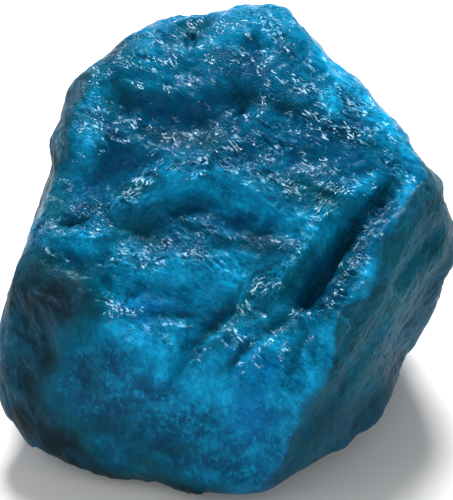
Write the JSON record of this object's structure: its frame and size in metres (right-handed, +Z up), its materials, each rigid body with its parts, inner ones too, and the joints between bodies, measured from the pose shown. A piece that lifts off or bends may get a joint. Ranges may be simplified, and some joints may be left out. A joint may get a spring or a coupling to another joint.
{
  "type": "raw amazonite stone",
  "caption": "Rough broken lump of blue-green amazonite feldspar with a stepped, glossy show face and a flat break to rest on.",
  "frame": {"origin": "middle of the stone's box, on the flat break that it rests on", "axes": "+Z up off the resting break, -Y towards the foot of the stepped show face, +X to its right"},
  "size_m": [0.0534, 0.0516, 0.0414],
  "materials": {
    "amazonite": "waxy, slightly translucent blue-green broken feldspar with small glossy cleavage faces"
  },
  "bodies": {
    "root": {"raw_amazonite": "amazonite"}
  },
  "joints": []
}
